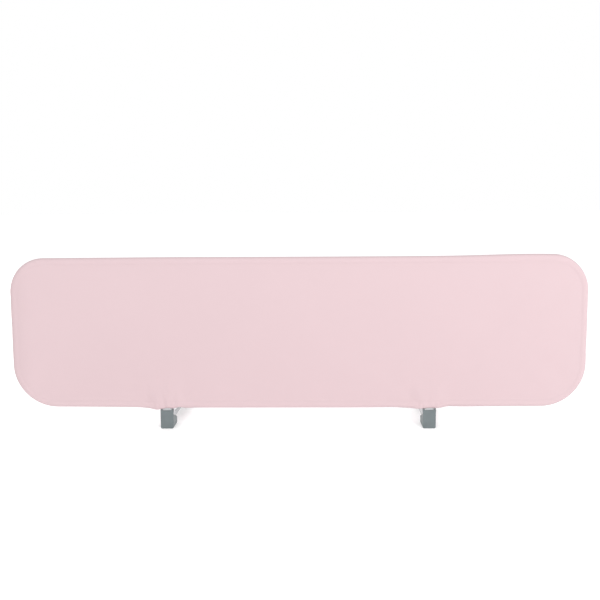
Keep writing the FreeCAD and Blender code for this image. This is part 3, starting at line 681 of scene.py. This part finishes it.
# ------------------------------------------------------------------ the cover
ZIP_EDGE = ZIP_HALF + 2 * MM
SEAM_CORD = 0.9 * MM
FRONT_TURNS = [75, 60, 52, 45, 37, LIP_TURN, 20, 10, 0, -13, -26, -39, -FRONT_WRAP]
BACK_TURNS = [82, 74, 67, BACK_LIP_TURN, FRONT_WRAP + 2]


def tube_along(name, points, section, closed, material):
    """A thin cord of the given section along points, its up side turned away from the panel's middle line."""
    path = []
    count = len(points)
    for k, point in enumerate(points):
        before = points[(k - 1) % count] if closed or k > 0 else point
        after = points[(k + 1) % count] if closed or k < count - 1 else point
        forward = (after - before).normalized()
        centre = Vector((point.x, MIDDLE_Y, point.z))
        normal_x, normal_z = outward(point.x, point.z)
        centre -= Vector((normal_x, 0, normal_z)) * ROLL
        up = (point - centre).normalized()
        side = forward.cross(up).normalized()
        path.append((point, side, side.cross(forward).normalized()))
    verts, faces = swept_strip(path, section, closed)
    obj = make_object(name, verts, faces)
    shade_by_angle(obj, 50)
    return place(obj, material, PANEL, "cover_fabric")


def walk(points, pitch):
    """Points every pitch along a polyline, each with the direction there."""
    carried = 0.0
    for start, end in zip(points, points[1:]):
        length = (end - start).length
        if length < 1e-9:
            continue
        along = (end - start) / length
        while carried < length:
            yield start + along * carried, along
            carried += pitch
        carried -= length


STITCH_LENGTH = 3.2 * MM
STITCH_PITCH = 4.4 * MM
STITCH_RADIUS = 0.30 * MM
STITCH_SIDES = 5
# place along a stitch, height above the cloth and girth, as shares of its half length and radius
STITCH_PROFILE = ((-1, -0.7, 0.5), (-0.5, 0.5, 0.95), (0.5, 0.5, 0.95), (1, -0.7, 0.5))


def add_stitch(verts, faces, at, along, up, length, radius):
    """One stitch: a short thread, thick in the middle, that dips into the cloth at both ends."""
    side = along.cross(up).normalized()
    first = len(verts)
    sides = STITCH_SIDES
    for share, rise, girth in STITCH_PROFILE:
        middle = at + along * (share * length / 2) + up * (rise * radius)
        for k in range(sides):
            turn = 2 * math.pi * k / sides
            verts.append(middle + (side * math.cos(turn) + up * math.sin(turn)) * radius * girth)
    for step in range(3):
        for k in range(sides):
            a = first + step * sides + k
            b = first + step * sides + (k + 1) % sides
            faces.append((a, b, b + sides, a + sides))
    faces.append(tuple(first + k for k in range(sides))[::-1])
    faces.append(tuple(first + 3 * sides + k for k in range(sides)))




def stitch_row(name, runs, up_at):
    """Rows of stitches as one object. runs are lists of points, and up_at gives the cloth's outward side at a
    point."""
    verts = []
    faces = []
    for run in runs:
        for at, along in walk(run, STITCH_PITCH):
            add_stitch(verts, faces, at, along, up_at(at), STITCH_LENGTH, STITCH_RADIUS)
    return place(make_object(name, verts, faces), THREAD, PANEL, "cover_fabric")


def edge_loop(turn, side, keep):
    """Runs of points all round the panel at one turn of the roll, broken where keep is false along the bottom."""
    base = []
    step = 6 * MM
    low_z = PANEL_BOTTOM + INNER
    high_z = PANEL_TOP - INNER
    half = HALF_LENGTH - INNER
    sides = [((-half, low_z), (half, low_z)), ((half, low_z), (half, high_z)),
             ((half, high_z), (-half, high_z)), ((-half, high_z), (-half, low_z))]
    for (x0, z0), (x1, z1) in sides:
        count = round(math.hypot(x1 - x0, z1 - z0) / step)
        for k in range(count):
            base.append(round_corner(x0 + (x1 - x0) * k / count, z0 + (z1 - z0) * k / count, INNER))
    runs = [[]]
    for x, z in base + base[:1]:
        if outward(x, z)[1] < -0.99 and not keep(x):
            if runs[-1]:
                runs.append([])
            continue
        runs[-1].append(edge_point(x, z, turn, side))
    return [run for run in runs if len(run) > 1]


def away_from_tube(point):
    normal_x, normal_z = outward(point.x, point.z)
    centre = Vector((point.x - normal_x * ROLL, MIDDLE_Y, point.z - normal_z * ROLL))
    return (point - centre).normalized()


def clear_of_slots(x):
    return all(abs(x - centre) > SLOT_X + 2.5 * MM for centre in LEG_X.values())


def build_seams():
    """Joining seam round the rear of the edge, with a row of stitches each side of it."""
    cord = round_section(SEAM_CORD, 6)
    for number, run in enumerate(edge_loop(-FRONT_WRAP - 1, -1, clear_of_slots)):
        tube_along(f"cover_seam_{number + 1}", run, cord, False, THREAD)
    stitch_row("cover_seam_stitches_back", edge_loop(72, 1, clear_of_slots), away_from_tube)
    stitch_row("cover_seam_stitches_edge", edge_loop(-32, -1, clear_of_slots), away_from_tube)


def slot_loop(centre, grow):
    """The edge of one knuckle slot, walked round, grown outwards along the cloth."""
    low_z = PANEL_BOTTOM + INNER
    half = SLOT_X + grow
    extra = math.degrees(grow / ROLL)
    front = LIP_TURN + extra
    rear = BACK_LIP_TURN + extra
    turns = [front - (front + FRONT_WRAP) * k / 10 for k in range(11)]
    wide = [-half + 2 * half * k / 8 for k in range(9)]
    points = [edge_point(centre + x, low_z, front, -1) for x in wide]
    points += [edge_point(centre + half, low_z, turn, -1) for turn in turns[1:]]
    points += [edge_point(centre + x, low_z, rear, 1) for x in wide[::-1]]
    points += [edge_point(centre - half, low_z, turn, -1) for turn in turns[:0:-1]]
    return points


def build_slot_binding():
    """Bias tape folded over the raw edge of each knuckle slot, and the stitches that hold it."""
    flat_section = [(x * 1.5 * MM, y * 0.75 * MM) for x, y in round_section(1.0, 8)]
    for side in SIDES:
        centre = LEG_X[side]
        tube_along(f"{side}_slot_binding", slot_loop(centre, 0.9 * MM), flat_section, True, TAPE_FABRIC)
        stitch_row(f"{side}_slot_stitches", [slot_loop(centre, 3.4 * MM)], away_from_tube)


def build_cover():
    front = build_sheet("cover_front_cloth", -1, FRONT_TURNS, LIP_TURN, [], [])
    back = build_sheet("cover_back_cloth", 1, BACK_TURNS, BACK_LIP_TURN, [-ZIP_EDGE, ZIP_EDGE],
                          [ZIP_Z - ZIP_OPENING, ZIP_Z + ZIP_OPENING])
    place(front, FABRIC, PANEL, "cover_fabric", "cover_front")
    place(back, FABRIC, PANEL, "cover_fabric", "cover_back")
    build_seams()
    build_slot_binding()


# ------------------------------------------------------------------ the zip
TOOTH_PITCH = 2.4 * MM
TOOTH_WIDTH = 1.1 * MM
CHAIN_HALF = 2 * MM
TAPE_THICK = 0.9 * MM
TAPE_STATIONS = 155
TAPE_TAIL = 6 * MM                   # how far the tapes run on under the cloth past each end


def tooth(verts, faces, x, side, low, high):
    """One tooth, from its tape past the middle of the chain, with a rounded nose and crowned back."""
    first = len(verts)
    root = ZIP_Z + side * (CHAIN_HALF + 0.3 * MM)
    nose = ZIP_Z - side * 0.7 * MM
    outline = [(-0.5, root), (-0.5, nose + side * 0.5 * MM), (-0.25, nose), (0.25, nose),
               (0.5, nose + side * 0.5 * MM), (0.5, root)]
    for share, y, narrow in ((1.0, low, 1.0), (1.0, high - 0.25 * MM, 1.0), (0.7, high, 0.9)):
        for across, z in outline:
            verts.append(Vector((x + across * TOOTH_WIDTH * share, y, ZIP_Z + (z - ZIP_Z) * narrow)))
    count = len(outline)
    for level in range(2):
        for k in range(count):
            a = first + level * count + k
            b = first + level * count + (k + 1) % count
            quad = (a, b, b + count, a + count)
            faces.append(quad if side < 0 else quad[::-1])
    bottom = tuple(first + k for k in range(count))
    top = tuple(first + 2 * count + k for k in range(count))
    faces.append(bottom[::-1] if side < 0 else bottom)
    faces.append(top if side < 0 else top[::-1])


def build_zip():
    low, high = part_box("zip_tape")
    chain_top = high.y
    tape_top = low.y + TAPE_THICK
    for side, label in ((-1, "lower"), (1, "upper")):
        outer = high.z if side > 0 else low.z
        inner = ZIP_Z + side * CHAIN_HALF
        steps = 6
        section = [(k / steps, tape_top) for k in range(steps + 1)]
        section += [(share, low.y) for share, _ in section[::-1]]
        verts = []
        faces = []
        stations = TAPE_STATIONS
        for n in range(stations):
            x = low.x - TAPE_TAIL + (high.x - low.x + 2 * TAPE_TAIL) * n / (stations - 1)
            meet = smooth((abs(x) - ZIP_HALF + 6 * MM) / (3 * MM))
            edge = inner + (ZIP_Z + side * 0.02 * MM - inner) * meet
            for near_inner, y in section:
                near_outer = 1 - near_inner
                ripple = 0.12 * MM * near_outer * math.sin(x * 210 + side)
                verts.append(Vector((x, y - 0.15 * MM * near_outer + ripple * 0.5,
                                     outer + (edge - outer) * near_inner)))
        count = len(section)
        for n in range(stations - 1):
            for k in range(count):
                a = n * count + k
                b = n * count + (k + 1) % count
                faces.append((a, b, b + count, a + count)[::-1] if side > 0 else (a, b, b + count, a + count))
        faces.append(tuple(range(count)) if side > 0 else tuple(range(count))[::-1])
        end = tuple((stations - 1) * count + k for k in range(count))
        faces.append(end[::-1] if side > 0 else end)
        tape = make_object(f"zip_{label}_tape", verts, faces)
        place(tape, TAPE_FABRIC, PANEL, "zip_fabric", "zip_tape")
    verts = []
    faces = []
    count = int((high.x - low.x - 2 * TOOTH_PITCH) / TOOTH_PITCH)
    for k in range(count):
        x = low.x + TOOTH_PITCH * (k + 1)
        tooth(verts, faces, x, 1, tape_top - 0.5 * MM, chain_top)
        tooth(verts, faces, x + TOOTH_PITCH / 2, -1, tape_top - 0.5 * MM, chain_top)
    place(make_object("zip_teeth", verts, faces), ZIP_LACQUER, PANEL, "zip_metal")
    for side, label in ((-1, "lower"), (1, "upper")):
        z = ZIP_Z + side * (ZIP_OPENING + 2.6 * MM)
        steps = 150
        run = [face_point(-ZIP_EDGE + 2 * ZIP_EDGE * k / steps, z, 1) for k in range(steps + 1)]
        stitch_row(f"zip_{label}_stitches", [run], lambda at: Vector((0, 1, 0)))
    ends = []
    for sign in (-1, 1):
        x = sign * (ZIP_EDGE + 2.4 * MM)
        ends.append([face_point(x, ZIP_Z - 7 * MM + 14 * MM * k / 6, 1) for k in range(7)])
    stitch_row("zip_end_stitches", ends, lambda at: Vector((0, 1, 0)))


# ------------------------------------------------------------------ ribbed rubber strips on the legs
RIB_PITCH = 6 * MM
RIB_DEPTH = 0.9 * MM
RIB_FLAT = 0.26                      # half the flat top and the slope, as shares of the pitch
RIB_SLOPE = 0.12


def rib_height(along):
    """0 in a groove, 1 on a rib's flat top, with sloping sides."""
    phase = along / RIB_PITCH % 1.0
    return 1 - smooth((abs(phase - 0.5) - RIB_FLAT) / RIB_SLOPE)


def build_grip_strip(side):
    """Strip with cross ribs and rounded long edges, in the box that the plain pad holds."""
    low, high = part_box(side + "_grip_pad")
    half = (high.x - low.x) / 2
    middle = (high.x + low.x) / 2
    length = high.y - low.y
    stations = round(length / (0.75 * MM))
    shares = [-1, -0.97, -0.9, -0.6, 0, 0.6, 0.9, 0.97, 1]
    verts = []
    faces = []
    for n in range(stations + 1):
        along = length * n / stations
        end = min(along, length - along)
        narrow = 1 - 0.08 * max(0.0, 1 - end / (2 * MM)) ** 2
        top = high.z - RIB_DEPTH * (1 - rib_height(along)) * smooth(end / (2 * MM))
        for share in shares:
            drop = 0.5 * MM * max(0.0, (abs(share) - 0.9) / 0.1) ** 2
            verts.append(Vector((middle + share * half * narrow, low.y + along, top - drop)))
        for share in (1, 0, -1):
            verts.append(Vector((middle + share * half * narrow, low.y + along, low.z)))
    count = len(shares) + 3
    for n in range(stations):
        for k in range(count):
            a = n * count + k
            b = n * count + (k + 1) % count
            faces.append((a, a + count, b + count, b)[::-1])
    faces.append(tuple(range(count)))
    faces.append(tuple(stations * count + k for k in range(count))[::-1])
    obj = make_object(side + "_grip_strip", verts, faces)
    shade_by_angle(obj)
    place(obj, RUBBER, side + "_leg", "pad_rubber", side + "_grip_pad")


# ------------------------------------------------------------------ lock springs, drawn at one length (on the real rail they shorten with the button)
SPRING_WIRE = 0.8 * MM
SPRING_TURNS = 5
SPRING_STEPS = 24                    # stations in one turn


def build_lock_coil(side):
    """Coil in the knuckle's pocket, drawn at one length; on the real rail it shortens towards the pocket's bottom
    as the lock ring moves in.
    """
    low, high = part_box(side + "_lock_spring")
    middle = centre_of(side + "_lock_spring")
    radius = (high.z - low.z - SPRING_WIRE) / 2
    room = high.x - low.x - SPRING_WIRE
    path = []
    for k in range(SPRING_TURNS * SPRING_STEPS + 1):
        angle = 2 * math.pi * k / SPRING_STEPS
        out = Vector((0, math.cos(angle), math.sin(angle)))
        x = low.x + SPRING_WIRE / 2 + room * k / (SPRING_TURNS * SPRING_STEPS)
        path.append((Vector((x, middle.y, middle.z)) + out * radius, Vector((1, 0, 0)), out))
    verts, faces = swept_strip(path, round_section(SPRING_WIRE / 2, 10), False)
    coil = make_object(side + "_lock_coil", verts, faces)
    shade_by_angle(coil, 50)
    place(coil, STEEL, PANEL, "fastener_steel", side + "_lock_spring")
    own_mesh(coil)


# ------------------------------------------------------------------ camera, light, floor
AZIMUTH = 1.36
ELEVATION = 7.0
ROLL_DEG = -0.41
DISTANCE = 2.170
LENS = 50.1
AIM = (0.008, MIDDLE_Y, 0.3394)
KEY_AT = (2.4, -4.4, 2.4)
KEY_POWER = 118
FILL_AT = (-2.0, 4.0, 2.4)
FILL_POWER = 100
LIGHT_SIZE = (2.4, 1.6)
FLOOR_HALF = 30
FLOOR_GLOW = 0.12                    # lifts the floor towards white


def build_camera():
    data = bpy.data.cameras.new("camera")
    data.lens = LENS
    data.sensor_width = 36.0
    data.clip_start = 0.05
    camera = bpy.data.objects.new("camera", data)
    bpy.context.scene.collection.objects.link(camera)
    azimuth = math.radians(AZIMUTH)
    elevation = math.radians(ELEVATION)
    forward = Vector((-math.sin(azimuth) * math.cos(elevation), math.cos(azimuth) * math.cos(elevation),
                      -math.sin(elevation)))
    camera.location = Vector(AIM) - forward * DISTANCE
    turn = forward.to_track_quat("-Z", "Y").to_matrix().to_4x4()
    roll = Matrix.Rotation(math.radians(ROLL_DEG), 4, "Z")
    camera.rotation_euler = (turn @ roll).to_euler()
    bpy.context.scene.camera = camera


def area_light(name, place_at, target, size, power):
    data = bpy.data.lights.new(name, "AREA")
    data.shape = "RECTANGLE"
    data.size = size[0]
    data.size_y = size[1]
    data.energy = power
    lamp = bpy.data.objects.new(name, data)
    lamp.location = place_at
    lamp.rotation_euler = (Vector(target) - Vector(place_at)).to_track_quat("-Z", "Y").to_euler()
    bpy.context.scene.collection.objects.link(lamp)


def build_stage():
    corners = [(x * FLOOR_HALF, y * FLOOR_HALF, 0) for x, y in ((-1, -1), (1, -1), (1, 1), (-1, 1))]
    floor = make_object("floor", corners, [(0, 1, 2, 3)], False)
    n = Nodes("pale_floor")
    n.shader.inputs["Base Color"].default_value = (0.94, 0.94, 0.94, 1)
    n.shader.inputs["Roughness"].default_value = 0.9
    n.shader.inputs["Specular IOR Level"].default_value = 0.1
    n.shader.inputs["Emission Color"].default_value = (1, 1, 1, 1)
    n.shader.inputs["Emission Strength"].default_value = FLOOR_GLOW
    floor.data.materials.append(n.material)
    world = bpy.data.worlds.new("studio")
    world.use_nodes = True
    world.node_tree.nodes["Background"].inputs[0].default_value = (1, 1, 1, 1)
    world.node_tree.nodes["Background"].inputs[1].default_value = 1.0
    bpy.context.scene.world = world
    area_light("key", KEY_AT, (0.1, MIDDLE_Y, 0.25), LIGHT_SIZE, KEY_POWER)
    area_light("rear_fill", FILL_AT, (0, MIDDLE_Y, 0.2), LIGHT_SIZE, FILL_POWER)
    bpy.context.scene.view_settings.view_transform = "Standard"
    bpy.context.scene.view_settings.look = "None"


finish_cad_nodes()
build_cover()
build_zip()
for leg_side in SIDES:
    build_grip_strip(leg_side)
    build_lock_coil(leg_side)
build_camera()
build_stage()
